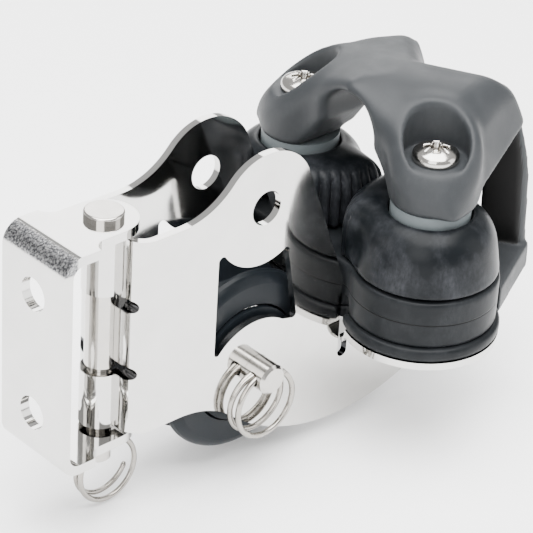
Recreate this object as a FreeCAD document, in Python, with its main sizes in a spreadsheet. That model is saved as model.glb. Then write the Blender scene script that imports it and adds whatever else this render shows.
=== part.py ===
"""Hinged lead block with a 40 mm sheave, a cam cleat and a fairlead, in millimetres.

X runs from the flat face that is bolted down towards the cleat, Z is the line of the
hinge pin, and -Y is the side with the two split rings' ends. The origin is the middle
of the two mounting holes, on the outer face of the hinge bracket.
"""
import FreeCAD, Part
import math
import os
import Sketcher

DIMENSIONS = {
    # hinge bracket: a U of folded sheet with two lugs
    "bracket_width": 18.4,
    "bracket_height": 47.6,
    "bracket_sheet": 2.0,
    "bracket_bend": 4.3,
    "mount_spacing": 26.0,
    "mount_hole": 6.9,
    "hinge_x": 16.4,
    "lug_radius": 6.6,
    "lug_shoulder_x": 8.2,
    "lug_hollow": 3.0,
    # hinge pin
    "hinge_pin_diameter": 5.0,
    "pin_clearance": 0.05,
    "hinge_head_diameter": 7.8,
    "hinge_head_height": 1.5,
    "hinge_pin_tail": 6.2,
    "hinge_ring_drop": 2.6,
    "hinge_ring_diameter": 14.7,
    "hinge_ring_wire": 1.1,
    "hinge_ring_hole": 3.0,
    "hinge_ring_shift": 0.8,
    "sleeve_radius": 3.2,
    "sleeve_top": 8.5,
    "sleeve_bottom": -7.8,
    # folded side plates
    "plate_sheet": 1.5,
    "plate_half_width": 9.6,
    "plate_top": 21.4,
    "plate_bottom": -20.8,
    "flange_x": 16.9,
    "cheek_bend": 4.5,
    "upper_slot_z": 7.3,
    "lower_slot_z": -7.5,
    "slot_height": 2.8,
    "slot_end_x": 17.05,
    "ear_x": 48.7,
    "ear_z": 19.0,
    "ear_radius": 11.8,
    "ear_hole": 7.2,
    "ear_hollow": 16.8,
    "cheek_end_x": 71.0,
    "relief_width": 2.5,
    "relief_bottom": -23.5,
    "web_end_x": 96.0,
    "web_arc_x": 73.0,
    "web_arc_z": 9.7,
    "web_arc_radius": 47.0,
    "web_hollow_x": 28.5,
    # sheave and its bearing
    "axle_x": 48.3,
    "axle_z": -17.3,
    "axle_diameter": 6.4,
    "axle_head_diameter": 9.4,
    "axle_head_height": 1.6,
    "axle_end_y": 15.0,
    "axle_ring_y": 12.05,
    "axle_ring_diameter": 15.7,
    "axle_ring_wire": 1.2,
    "axle_ring_hole": 3.1,
    "sheave_radius": 19.4,
    "sheave_width": 13.0,
    "groove_depth": 4.6,
    "sheave_bore_radius": 12.8,
    "ball_diameter": 2.5,
    "ball_circle_radius": 11.4,
    "ball_row_y": 4.7,
    "balls_per_row": 26,
    "hub_radius": 9.9,
    "hub_half_width": 7.1,
    # cleat: base, cams and what is inside them
    "cleat_x": 84.5,
    "cleat_half_spacing": 19.0,
    "deck_z": -15.2,
    "pad_thickness": 3.0,
    "pad_radius": 16.2,
    "base_radius": 15.2,
    "base_top": -2.0,
    "base_flank": 12.2,
    "cam_bottom": -1.6,
    "cam_top": 11.6,
    "cam_radius": 14.0,
    "cam_top_radius": 12.3,
    "cam_nose_gap": 0.8,
    "tooth_depth": 1.1,
    "tooth_count": 9,
    "bush_radius": 8.15,
    "bush_top": 13.2,
    "bush_bottom": -2.0,
    "spindle_radius": 5.2,
    # fasteners
    "screw_diameter": 5.0,
    "screw_clearance": 0.25,
    "screw_head_diameter": 9.5,
    "screw_head_height": 3.2,
    "screw_seat_z": 22.2,
    "nut_flats": 8.0,
    "nut_height": 4.0,
    "washer_diameter": 10.0,
    "washer_thickness": 1.0,
    # fairlead
    "foot_radius": 9.0,
    "well_radius": 6.6,
    "arch_half_width": 7.0,
    "arch_top": 30.4,
    "fairlead_top": 33.6,
    "fairlead_front_x": 77.6,
    "wing_x": 105.0,
    "wing_top": 31.2,
    "leg_x": 117.6,
    "leg_y": 15.5,
    "leg_thickness": 2.2,
    "leg_size": 3.2,
}


class Size:
    """A number together with the sheet expression that gives it."""

    def __init__(self, value, text):
        self.value = value
        self.text = text

    def join(self, other, sign, result):
        return Size(result, f"({self.text} {sign} {other.text})")

    def __add__(self, other):
        other = as_size(other)
        return self.join(other, "+", self.value + other.value)

    def __sub__(self, other):
        other = as_size(other)
        return self.join(other, "-", self.value - other.value)

    def __mul__(self, other):
        other = as_size(other)
        return self.join(other, "*", self.value * other.value)

    def __truediv__(self, other):
        other = as_size(other)
        return self.join(other, "/", self.value / other.value)

    def __radd__(self, other):
        return as_size(other) + self

    def __rsub__(self, other):
        return as_size(other) - self

    def __rmul__(self, other):
        return as_size(other) * self

    def __neg__(self):
        return Size(-self.value, f"(-1 * {self.text})")


def as_size(thing):
    """Turn a plain number into a Size; leave a Size alone."""
    if isinstance(thing, Size):
        return thing
    return Size(float(thing), f"({float(thing):.6f})")


def make_sheet(document):
    """Write every driving dimension into the sheet and return its Sizes by name."""
    sheet = document.addObject("Spreadsheet::Sheet", "Dimensions")
    for row, (name, number) in enumerate(DIMENSIONS.items(), start=1):
        sheet.set(f"A{row}", name)
        sheet.set(f"B{row}", str(number))
        sheet.setAlias(f"B{row}", name)
    document.recompute()
    return {name: Size(float(sheet.get(name)), f"Dimensions.{name}") for name in DIMENSIONS}


doc = FreeCAD.newDocument("LeadBlock")
size = make_sheet(doc)
nodes = []


def bind(thing, prop, amount):
    """Tie one property of a document object to the sheet."""
    thing.setExpression(prop, as_size(amount).text)


def hypot_leg(longer, shorter):
    """The other leg of a right triangle, as a Size."""
    longer = as_size(longer)
    shorter = as_size(shorter)
    leg = math.sqrt(longer.value ** 2 - shorter.value ** 2)
    return Size(leg, f"sqrt({longer.text}^2 - {shorter.text}^2)")


# ---------------------------------------------------------------- sketch helpers

def new_body(name):
    body = doc.addObject("PartDesign::Body", name)
    body.Label = name
    nodes.append(body)
    return body


def origin_plane(body, role):
    return next(item for item in body.Origin.OriginFeatures if item.Role == role)


def new_sketch(body, name, role, offset=0):
    """A sketch on one of the body's own origin planes, moved along its normal."""
    sketch = body.newObject("Sketcher::SketchObject", name)
    sketch.AttachmentSupport = (origin_plane(body, role), [""])
    sketch.MapMode = "FlatFace"
    bind(sketch, "AttachmentOffset.Base.z", offset)
    return sketch


def loose_sketch(name, rotation, position=(0, 0, 0)):
    """A sketch outside any body, for Part extrusions and revolutions."""
    sketch = doc.addObject("Sketcher::SketchObject", name)
    sketch.Placement = FreeCAD.Placement(FreeCAD.Vector(0, 0, 0), rotation)
    for axis, amount in zip("xyz", position):
        bind(sketch, f"Placement.Base.{axis}", amount)
    return sketch


FLAT = FreeCAD.Rotation()
UPRIGHT = FreeCAD.Rotation(FreeCAD.Vector(1, 0, 0), 90)       # sketch x, y are X, Z
CROSSWISE = FreeCAD.Rotation(FreeCAD.Vector(1, 1, 1), 120)    # sketch x, y are Y, Z


def fix(sketch, kind, *where, amount):
    """Add one dimension to a sketch and tie it to the sheet."""
    amount = as_size(amount)
    index = sketch.addConstraint(Sketcher.Constraint(kind, *where, amount.value))
    sketch.setExpression(f"Constraints[{index}]", amount.text)


def circle(sketch, x, y, radius):
    """A circle with its centre and radius tied to the sheet."""
    x, y, radius = as_size(x), as_size(y), as_size(radius)
    centre = FreeCAD.Vector(x.value, y.value, 0)
    shape = Part.Circle(centre, FreeCAD.Vector(0, 0, 1), radius.value)
    index = sketch.addGeometry(shape)
    fix(sketch, "DistanceX", -1, 1, index, 3, amount=x)
    fix(sketch, "DistanceY", -1, 1, index, 3, amount=y)
    fix(sketch, "Radius", index, amount=radius)


def arc_between(start, end, radius):
    """The short arc from start to end; a positive radius bulges to the right."""
    middle = (start + end) * 0.5
    chord = end - start
    rise = math.sqrt(max(radius ** 2 - (chord.Length / 2) ** 2, 0))
    side = FreeCAD.Vector(chord.y, -chord.x, 0).normalize() * math.copysign(1, radius)
    through = middle + side * (abs(radius) - rise)
    return Part.Arc(start, through, end)


def outline(sketch, corners):
    """A closed outline. Each corner is (x, y), or (x, y, radius) to leave it by an arc."""
    points = [(as_size(corner[0]), as_size(corner[1])) for corner in corners]
    places = [FreeCAD.Vector(x.value, y.value, 0) for x, y in points]
    first = sketch.GeometryCount
    leaving = []
    for number, corner in enumerate(corners):
        start = places[number]
        end = places[(number + 1) % len(corners)]
        if len(corner) == 2:
            sketch.addGeometry(Part.LineSegment(start, end))
            leaving.append((1, 2))
            continue
        radius = as_size(corner[2])
        index = sketch.addGeometry(arc_between(start, end, radius.value))
        begins = sketch.getPoint(index, 1)
        leaving.append((1, 2) if (begins - start).Length < (begins - end).Length else (2, 1))
        if radius.value < 0:
            radius = -radius
        fix(sketch, "Radius", index, amount=radius)
    for number, (x, y) in enumerate(points):
        index = first + number
        previous = first + (number - 1) % len(corners)
        start_point = leaving[number][0]
        end_point = leaving[number - 1][1]
        sketch.addConstraint(
            Sketcher.Constraint("Coincident", previous, end_point, index, start_point))
        fix(sketch, "DistanceX", -1, 1, index, start_point, amount=x)
        fix(sketch, "DistanceY", -1, 1, index, start_point, amount=y)


# ---------------------------------------------------------------- feature helpers

def pad(body, sketch, length, symmetric=False, reverse=False):
    feature = body.newObject("PartDesign::Pad", sketch.Name + "_pad")
    feature.Profile = sketch
    bind(feature, "Length", length)
    feature.SideType = "Symmetric" if symmetric else "One side"
    feature.Reversed = reverse
    doc.recompute()
    return feature


def pocket(body, sketch, length, symmetric=False, reverse=False):
    """Cut a sketch's outline away and make sure that something was removed."""
    before = body.Shape.Volume
    feature = body.newObject("PartDesign::Pocket", sketch.Name + "_pocket")
    feature.Profile = sketch
    bind(feature, "Length", length)
    feature.SideType = "Symmetric" if symmetric else "One side"
    feature.Reversed = reverse
    doc.recompute()
    if body.Shape.Volume > before - 1e-3:
        raise RuntimeError(f"{feature.Name} cut nothing")
    return feature


def revolve(body, sketch, axis=None):
    """Turn a sketch right round, about its own vertical or horizontal axis."""
    feature = body.newObject("PartDesign::Revolution", sketch.Name + "_turn")
    feature.Profile = sketch
    feature.ReferenceAxis = (sketch, [axis or "V_Axis"])
    feature.Angle = 360
    doc.recompute()
    return feature


def boolean(kind, name, shapes):
    feature = doc.addObject(kind, name)
    feature.Shapes = shapes
    return feature


def fuse(name, shapes):
    return boolean("Part::MultiFuse", name, shapes)


def common(name, shapes):
    return boolean("Part::MultiCommon", name, shapes)


def cut(name, base, tool):
    feature = doc.addObject("Part::Cut", name)
    feature.Base = base
    feature.Tool = tool
    return feature


def extrude(name, sketch, direction, length, symmetric=False):
    feature = doc.addObject("Part::Extrusion", name)
    feature.Base = sketch
    feature.DirMode = "Custom"
    feature.Dir = FreeCAD.Vector(*direction)
    bind(feature, "LengthFwd", length)
    feature.Symmetric = symmetric
    feature.Solid = True
    return feature


def cylinder(name, radius, height, position, axis="z"):
    """A cylinder that starts at position and runs along +x, +y or +z."""
    turns = {"x": FreeCAD.Rotation(FreeCAD.Vector(0, 1, 0), 90),
             "y": FreeCAD.Rotation(FreeCAD.Vector(1, 0, 0), -90),
             "z": FreeCAD.Rotation()}
    feature = doc.addObject("Part::Cylinder", name)
    bind(feature, "Radius", radius)
    bind(feature, "Height", height)
    feature.Placement = FreeCAD.Placement(FreeCAD.Vector(0, 0, 0), turns[axis])
    for letter, amount in zip("xyz", position):
        bind(feature, f"Placement.Base.{letter}", amount)
    return feature


def box(name, low, high):
    """A box between two corners."""
    feature = doc.addObject("Part::Box", name)
    for prop, first, last in zip(("Length", "Width", "Height"), low, high):
        bind(feature, prop, as_size(last) - first)
    for letter, amount in zip("xyz", low):
        bind(feature, f"Placement.Base.{letter}", amount)
    return feature


def keep(feature, label):
    """Make a finished Part object one of the sub-parts."""
    feature.Label = label
    nodes.append(feature)
    return feature


def keep_shape(shape, label):
    """A sub-part whose shape no single feature gives."""
    feature = doc.addObject("Part::Feature", label)
    feature.Shape = shape
    feature.Placement = FreeCAD.Placement()
    return keep(feature, label)


# ---------------------------------------------------------------- hinge

def hinge_bracket():
    """U of folded sheet: side profile, lug plan, then the holes."""
    body = new_body("hinge_bracket")
    half = size["bracket_height"] / 2
    sheet = size["bracket_sheet"]
    bend = size["bracket_bend"]
    inner_bend = bend - sheet
    reach = size["hinge_x"] + size["lug_radius"]
    profile = new_sketch(body, "bracket_profile", "XZ_Plane")
    outline(profile, [
        (0, bend - half, bend),
        (bend, -half), (reach, -half), (reach, sheet - half),
        (bend, sheet - half, -inner_bend),
        (sheet, bend - half), (sheet, half - bend, -inner_bend),
        (bend, half - sheet), (reach, half - sheet), (reach, half), (bend, half, bend),
        (0, half - bend)])
    pad(body, profile, size["bracket_width"], symmetric=True)

    side = size["bracket_width"] / 2
    lug = size["lug_radius"]
    shoulder = size["lug_shoulder_x"]
    hollow = size["lug_hollow"]
    beyond = reach + 1
    for sign, label in ((1, "far"), (-1, "near")):
        trim = new_sketch(body, f"lug_trim_{label}", "XY_Plane")
        outline(trim, [
            (shoulder, sign * (side + 1)),
            (shoulder, sign * side, sign * hollow),
            (shoulder + hollow, sign * lug),
            (size["hinge_x"], sign * lug, sign * lug * -1),
            (reach, 0),
            (beyond, 0), (beyond, sign * (side + 1))])
        pocket(body, trim, size["bracket_height"] + 2, symmetric=True)

    holes = new_sketch(body, "mounting_holes", "YZ_Plane")
    for sign in (-1, 1):
        circle(holes, 0, sign * size["mount_spacing"] / 2, size["mount_hole"] / 2)
    pocket(body, holes, bend * 2, symmetric=True)
    bore = new_sketch(body, "hinge_bore", "XY_Plane")
    circle(bore, size["hinge_x"], 0, size["hinge_pin_diameter"] / 2 + size["pin_clearance"])
    pocket(body, bore, size["bracket_height"] + 2, symmetric=True)


def turned_pin(name, radius, length, head_radius, head_height, chamfer=0.5):
    """Headed pin, turned about its own Z: the head is above z = 0, the shank below it."""
    body = new_body(name)
    profile = new_sketch(body, f"{name}_profile", "XZ_Plane")
    outline(profile, [
        (0, -length), (radius - chamfer, -length), (radius, chamfer - length), (radius, 0),
        (head_radius, 0), (head_radius, head_height - 0.45, 0.45),
        (head_radius - 0.45, head_height), (0, head_height)])
    revolve(body, profile)
    return body


def cross_hole(body, drop, diameter):
    """Hole across a pin's shank, for its split ring; it runs along the pin's own X."""
    hole = new_sketch(body, f"{body.Name}_hole", "YZ_Plane")
    circle(hole, 0, -drop, as_size(diameter) / 2)
    pocket(body, hole, 30, symmetric=True)


def place(feature, position, rotation=FreeCAD.Rotation()):
    feature.Placement = FreeCAD.Placement(FreeCAD.Vector(0, 0, 0), rotation)
    for letter, amount in zip("xyz", position):
        bind(feature, f"Placement.Base.{letter}", amount)


def split_ring(name, outside, wire, centre):
    """Two turns of wire side by side, as one solid, square to Y."""
    turns = []
    mean = (as_size(outside) - wire) / 2
    upright = FreeCAD.Rotation(FreeCAD.Vector(1, 0, 0), 90)
    x, y, z = centre
    for number, side in enumerate((-0.45, 0.45), start=1):
        turn = doc.addObject("Part::Torus", f"{name}_turn_{number}")
        bind(turn, "Radius1", mean)
        bind(turn, "Radius2", wire / 2)
        place(turn, (x, as_size(y) + wire * side, z), upright)
        turns.append(turn)
    return keep(fuse(name, turns), name)


def hinge_pin_and_ring():
    radius = size["hinge_pin_diameter"] / 2
    length = size["bracket_height"] + size["hinge_pin_tail"]
    pin = turned_pin("hinge_pin", radius, length,
                     size["hinge_head_diameter"] / 2, size["hinge_head_height"])
    hole_drop = size["bracket_height"] + size["hinge_ring_drop"]
    cross_hole(pin, hole_drop, size["hinge_ring_hole"])
    place(pin, (size["hinge_x"], 0, size["bracket_height"] / 2))

    wire = size["hinge_ring_wire"]
    mean = (size["hinge_ring_diameter"] - wire) / 2
    hole_z = -size["bracket_height"] / 2 - size["hinge_ring_drop"]
    shift = size["hinge_ring_shift"]
    split_ring("hinge_split_ring", size["hinge_ring_diameter"], wire,
               (size["hinge_x"] + shift, 0, hole_z - hypot_leg(mean, shift)))

    sleeve = new_body("hinge_sleeve")
    section = new_sketch(sleeve, "hinge_sleeve_section", "XY_Plane")
    circle(section, 0, 0, size["sleeve_radius"])
    circle(section, 0, 0, radius + size["pin_clearance"])
    pad(sleeve, section, size["sleeve_top"] - size["sleeve_bottom"])
    place(sleeve, (size["hinge_x"], 0, size["sleeve_bottom"]))


# ---------------------------------------------------------------- side plates

def strap_wrap(name, side_of_pin):
    """Plan of the sheet where it goes round the pin, from flange to flange.

    side_of_pin is -1 where the sheet passes in front of the pin (towards the bracket)
    and 1 where it passes behind it.
    """
    sheet = size["plate_sheet"]
    x = size["hinge_x"]
    inside = size["hinge_pin_diameter"] / 2 if side_of_pin < 0 else size["sleeve_radius"]
    inner = inside + size["pin_clearance"]
    outer = inner + sheet
    near = size["flange_x"]
    far = near + sheet
    tie = size["plate_half_width"] - size["cheek_bend"]
    sketch = loose_sketch(name, FLAT)
    if side_of_pin < 0:
        throat = hypot_leg(outer, near - x)
        outline(sketch, [
            (near, -tie), (far, -tie), (far, -inner), (x, -inner, -inner),
            (x - inner, 0, -inner), (x, inner), (far, inner), (far, tie),
            (near, tie), (near, throat, outer), (x - outer, 0, outer),
            (near, -throat)])
    else:
        hug = hypot_leg(inner, near - x)
        back = hypot_leg(outer, far - x)
        outline(sketch, [
            (near, -tie), (far, -tie), (far, -back, outer), (x + outer, 0, outer),
            (far, back), (far, tie), (near, tie), (near, hug, -inner),
            (x + inner, 0, -inner), (near, -hug)])
    return sketch


def flange_plan(name, sign):
    """Plan of the bend from the flange out to one cheek, up to where the cheek is flat."""
    sheet = size["plate_sheet"]
    bend = size["cheek_bend"]
    near = size["flange_x"]
    half = size["plate_half_width"]
    tie = half - bend
    sketch = loose_sketch(name, FLAT)
    outline(sketch, [
        (near, sign * (tie - 0.5)), (near, sign * tie, sign * bend * -1),
        (near + bend, sign * half), (near + bend + 1, sign * half),
        (near + bend + 1, sign * (half - sheet)),
        (near + bend, sign * (half - sheet), sign * (bend - sheet)),
        (near + sheet, sign * tie), (near + sheet, sign * (tie - 0.5))])
    return sketch


def cheek_outline(name):
    """Side view of one cheek: ear, sloping edge, relief slot and the web under the cleat."""
    start = size["flange_x"] + size["cheek_bend"] + 0.5
    top = size["plate_top"]
    bottom = size["plate_bottom"]
    ear_x, ear_z, ear = size["ear_x"], size["ear_z"], size["ear_radius"]
    hollow = size["ear_hollow"]
    # the hollow before the ear touches both the level top edge and the ear
    hollow_x = ear_x - hypot_leg(hollow + ear, top + hollow - ear_z)
    share = ear / (ear + hollow)
    touch_x = ear_x + (hollow_x - ear_x) * share
    touch_z = ear_z + (top + hollow - ear_z) * share
    # the edge behind the ear leaves it at 22 degrees above level
    leave_x = ear_x + ear * math.cos(math.radians(22))
    leave_z = ear_z + ear * math.sin(math.radians(22))
    end = size["cheek_end_x"]
    fall_z = leave_z - (end - leave_x) / math.tan(math.radians(22))
    slot = size["relief_width"]
    slot_z = size["relief_bottom"] + slot / 2
    bend_z = size["deck_z"] - size["plate_sheet"] - 2.5
    # the web's big arc, and the hollow that joins it to the level bottom edge
    arc_x, arc_z, arc = size["web_arc_x"], size["web_arc_z"], size["web_arc_radius"]
    web_end = size["web_end_x"]
    web_end_z = arc_z - hypot_leg(arc, web_end - arc_x)
    join_x = size["web_hollow_x"]
    run = (arc_x - join_x).value
    rise = (arc_z - bottom).value
    join = (run ** 2 + rise ** 2 - arc.value ** 2) / (2 * (arc.value - rise))
    share = arc.value / (arc.value + join)
    meet_x = arc_x - run * share
    meet_z = arc_z - (rise + join) * share
    sketch = loose_sketch(name, UPRIGHT)
    outline(sketch, [
        (start, top), (start, bottom), (join_x, bottom, -join),
        (meet_x, meet_z, arc),
        (web_end, web_end_z), (web_end, bend_z), (end + slot, bend_z),
        (end + slot, slot_z, -slot / 2), (end + slot / 2, size["relief_bottom"], -slot / 2),
        (end, slot_z), (end, fall_z), (leave_x, leave_z, ear),
        (touch_x, touch_z, -hollow), (hollow_x, top)])
    return sketch


def window_outline(name):
    """The four-sided window: its top follows the ear, its bottom the axle.

    Each point is x, z and, where an arc starts, its radius.
    """
    front_low = [(37.0, -9.6, 0.8)]
    sill = [(38.1, -10.3, -12.7), (54.8, -8.1)]
    rear_low = [(57.2, -8.7, 0.9), (58.3, -7.4)]
    rear_high = [(55.3, 7.0, 0.9)]
    lintel = [(54.0, 8.2, -11.9)]
    front_high = [(38.6, 11.7, 1.0), (37.0, 10.9)]
    sketch = loose_sketch(name, UPRIGHT)
    outline(sketch, front_low + sill + rear_low + rear_high + lintel + front_high)
    return sketch


def shelf_section(name, sign):
    """Section across one shelf: up from the web, round the bend and out level."""
    sheet = size["plate_sheet"]
    top = size["deck_z"]
    half = size["plate_half_width"]
    inside = 2.5
    bend_z = top - sheet - inside
    bend_y = half + inside
    edge = size["cleat_half_spacing"] + size["pad_radius"] + 1
    sketch = loose_sketch(name, CROSSWISE)
    outline(sketch, [
        (sign * (half - sheet), bend_z), (sign * half, bend_z, sign * -inside * -1),
        (sign * bend_y, top - sheet), (sign * edge, top - sheet), (sign * edge, top),
        (sign * bend_y, top, sign * (sheet + inside) * -1)])
    return sketch


def shelf_plan(name, sign):
    """Plan of one shelf: straight from the web, round under the end of the cleat."""
    radius = size["pad_radius"] - 0.2
    middle = size["cleat_half_spacing"]
    x = size["cleat_x"]
    left = size["cheek_end_x"] + size["relief_width"]
    right = size["web_end_x"]
    inner = size["plate_half_width"] - size["plate_sheet"]
    left_turn = hypot_leg(radius, x - left)
    right_turn = hypot_leg(radius, right - x)
    sketch = loose_sketch(name, FLAT)
    outline(sketch, [
        (left, sign * (inner - 0.5)), (left, sign * (middle - left_turn), sign * -radius),
        (x - radius, sign * middle, sign * -radius), (x, sign * (middle + radius), sign * -radius),
        (x + radius, sign * middle, sign * -radius),
        (right, sign * (middle - right_turn)), (right, sign * (inner - 0.5))])
    return sketch


def side_plates():
    """Both cheeks, their knuckles and their shelves: folded sheet, cut into plain sub-parts."""
    half = size["plate_half_width"]
    sheet = size["plate_sheet"]
    slot = size["slot_height"]
    low_band = size["lower_slot_z"] - slot / 2
    high_band = size["upper_slot_z"] + slot / 2
    parts = []
    spans = (("lower_knuckle", -1, size["plate_bottom"], low_band),
             ("middle_band", 1, size["lower_slot_z"] + slot / 2, size["upper_slot_z"] - slot / 2),
             ("upper_knuckle", -1, high_band, size["plate_top"]))
    for label, side, low, high in spans:
        plan = strap_wrap(f"{label}_plan", side)
        bind(plan, "Placement.Base.z", low)
        parts.append(extrude(label, plan, (0, 0, 1), high - low))
    for sign, label in ((-1, "near"), (1, "far")):
        plan = flange_plan(f"{label}_flange_plan", sign)
        bind(plan, "Placement.Base.z", size["plate_bottom"])
        parts.append(extrude(f"{label}_flange", plan, (0, 0, 1),
                             size["plate_top"] - size["plate_bottom"]))
        side_view = cheek_outline(f"{label}_cheek_outline")
        bind(side_view, "Placement.Base.y", sign * half)
        parts.append(extrude(f"{label}_cheek", side_view, (0, -sign, 0), sheet))
        left = size["cheek_end_x"] + size["relief_width"]
        section = shelf_section(f"{label}_shelf_section", sign)
        bind(section, "Placement.Base.x", left)
        bent = extrude(f"{label}_shelf_bent", section, (1, 0, 0), size["pad_radius"] * 2)
        back = extrude(f"{label}_shelf_back", section, (-1, 0, 0), size["pad_radius"])
        plan = shelf_plan(f"{label}_shelf_plan", sign)
        bind(plan, "Placement.Base.z", size["deck_z"] - 10)
        limit = extrude(f"{label}_shelf_limit", plan, (0, 0, 1), 11)
        whole = fuse(f"{label}_shelf_whole", [bent, back])
        parts.append(common(f"{label}_shelf_blank", [whole, limit]))
    solid = fuse("strap_solid", parts)

    tools = []
    across = 2 * half + 4
    window = window_outline("window_sketch")
    tools.append(extrude("window_tool", window, (0, 1, 0), across, symmetric=True))
    tools.append(cylinder("ear_tool", size["ear_hole"] / 2, across,
                          (size["ear_x"], -half - 2, size["ear_z"]), "y"))
    tools.append(cylinder("axle_tool", size["axle_diameter"] / 2 + size["pin_clearance"], across,
                          (size["axle_x"], -half - 2, size["axle_z"]), "y"))
    for label in ("upper_slot", "lower_slot"):
        z = size[f"{label}_z"]
        sketch = loose_sketch(f"{label}_sketch", UPRIGHT)
        end = size["slot_end_x"]
        outline(sketch, [
            (size["hinge_x"] - 6, z - slot / 2), (end, z - slot / 2, slot / 2),
            (end + slot / 2, z, slot / 2), (end, z + slot / 2),
            (size["hinge_x"] - 6, z + slot / 2)])
        tools.append(extrude(f"{label}_tool", sketch, (0, 1, 0), across, symmetric=True))
    for sign, label in ((-1, "near"), (1, "far")):
        tools.append(cylinder(f"{label}_shelf_hole", size["screw_diameter"] / 2 + 0.25, 12,
                              (size["cleat_x"], sign * size["cleat_half_spacing"],
                               size["deck_z"] - 6)))
    folded = cut("folded_plates", solid, fuse("strap_tools", tools))

    seam_x = size["flange_x"] + size["cheek_bend"] + 0.5
    seam_z = 1.2
    far_end = 110
    reach = 60
    whole = (reach, reach)
    fold = box("knuckle_fold_zone", (0, -reach, -reach), (seam_x, *whole))
    keep(common("knuckle_fold", [folded, fold]), "knuckle_fold")
    for sign, label in ((-1, "near"), (1, "far")):
        zones = {
            "cheek_upper": (0, half, seam_z, reach),
            "cheek_lower": (0, half, -reach, seam_z),
            "shelf": (half, reach, -reach, reach),
        }
        for kind, (inner, outer, low, high) in zones.items():
            first, last = (inner, outer) if sign > 0 else (-as_size(outer), -as_size(inner))
            zone = box(f"{label}_{kind}_zone", (seam_x, first, low), (far_end, last, high))
            keep(common(f"{label}_{kind}", [folded, zone]), f"{label}_{kind}")


# ---------------------------------------------------------------- sheave

def sheave_wheel():
    """Wheel with a rope groove, and a bore whose two ball tracks leave a middle rib."""
    body = new_body("sheave")
    radius = size["sheave_radius"]
    half = size["sheave_width"] / 2
    groove = size["groove_depth"]
    bore = size["sheave_bore_radius"]
    lip = 0.9
    rib = size["ball_circle_radius"] - 0.6
    track = size["ball_row_y"] - size["ball_diameter"] / 2 - 0.15
    profile = new_sketch(body, "sheave_profile", "XY_Plane")
    outline(profile, [
        (bore, -half), (radius - 2.2, -half, lip + 2.2), (radius - 0.3, lip - half + 0.4),
        (radius, lip - half + 1.2),
        (radius, lip - half + 1.7), (radius - groove, 0 - track / 2, -5.6),
        (radius - groove, track / 2), (radius, half - lip - 1.7),
        (radius, half - lip - 1.2), (radius - 0.3, half - lip - 0.4, lip + 2.2),
        (radius - 2.2, half), (bore, half),
        (bore, track), (rib, track), (rib, -track), (bore, -track)])
    revolve(body, profile)
    place(body, (size["axle_x"], 0, size["axle_z"]))


def sheave_hub():
    """Fixed hub on the axle, with a plain cylinder for the balls to run on."""
    body = new_body("sheave_hub")
    half = size["hub_half_width"]
    bore = size["axle_diameter"] / 2 + size["pin_clearance"]
    profile = new_sketch(body, "hub_profile", "XY_Plane")
    hub = size["hub_radius"]
    outline(profile, [(bore, -half), (hub, -half), (hub, half), (bore, half)])
    revolve(body, profile)
    place(body, (size["axle_x"], 0, size["axle_z"]))


def retainer_ring(name, side):
    """Thin ring pressed on the hub's end, which keeps one row of balls in."""
    half = size["hub_half_width"]
    start = size["ball_row_y"] + size["ball_diameter"] / 2 + 0.25
    outer = cylinder(f"{name}_disc", size["sheave_bore_radius"] - 0.5, half - start,
                     (size["axle_x"], start if side > 0 else -half, size["axle_z"]), "y")
    inner = cylinder(f"{name}_bore", size["hub_radius"], half - start + 2,
                     (size["axle_x"], (start if side > 0 else -half) - 1, size["axle_z"]), "y")
    keep(cut(name, outer, inner), name)


def ball_ring(label, count, ball, ring_radius, centre, axis):
    """Loose balls evenly round a circle whose axis is Y or Z."""
    balls = []
    for number in range(count):
        angle = 2 * math.pi * (number + 0.5) / count
        across = ring_radius * math.cos(angle)
        along = ring_radius * math.sin(angle)
        offset = (across, 0, along) if axis == "y" else (across, along, 0)
        place_at = FreeCAD.Vector(*centre) + FreeCAD.Vector(*offset)
        balls.append(Part.makeSphere(ball / 2, place_at))
    keep_shape(Part.makeCompound(balls), label)


def sheave_balls():
    for sign, label in ((-1, "near_ball_row"), (1, "far_ball_row")):
        centre = (size["axle_x"].value, sign * size["ball_row_y"].value, size["axle_z"].value)
        ball_ring(label, int(size["balls_per_row"].value), size["ball_diameter"].value,
                  size["ball_circle_radius"].value, centre, "y")


def axle_and_ring():
    """Removable clevis pin through both cheeks: head on the far side, ring on the near one."""
    half = size["plate_half_width"]
    pin = turned_pin("axle_pin", size["axle_diameter"] / 2, half + size["axle_end_y"],
                     size["axle_head_diameter"] / 2, size["axle_head_height"], chamfer=0.6)
    hole = new_sketch(pin, "axle_hole", "YZ_Plane")
    circle(hole, 0, -(half + size["axle_ring_y"]), size["axle_ring_hole"] / 2)
    pocket(pin, hole, 30, symmetric=True)
    place(pin, (size["axle_x"], half, size["axle_z"]),
          FreeCAD.Rotation(FreeCAD.Vector(1, 0, 0), -90))

    wire = size["axle_ring_wire"]
    mean = (size["axle_ring_diameter"] - wire) / 2
    split_ring("axle_split_ring", size["axle_ring_diameter"], wire,
               (size["axle_x"], -size["axle_ring_y"], size["axle_z"] - mean))


def cheek_washers():
    """Thin plain washers that keep the hub clear of each cheek."""
    inner_face = size["plate_half_width"] - size["plate_sheet"]
    thickness = inner_face - size["hub_half_width"]
    rings = []
    for sign, label in ((-1, "near"), (1, "far")):
        start = size["hub_half_width"] if sign > 0 else -inner_face
        disc = cylinder(f"{label}_washer_disc", 6.2, thickness,
                        (size["axle_x"], start, size["axle_z"]), "y")
        bore = cylinder(f"{label}_washer_bore", size["axle_diameter"] / 2 + 0.05,
                        thickness + 2, (size["axle_x"], start - 1, size["axle_z"]), "y")
        rings.append(cut(f"{label}_hub_washer", disc, bore))
    merged = doc.addObject("Part::Compound", "hub_washers")
    merged.Links = rings
    keep(merged, "hub_washers")


# ---------------------------------------------------------------- cam cleat

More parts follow.
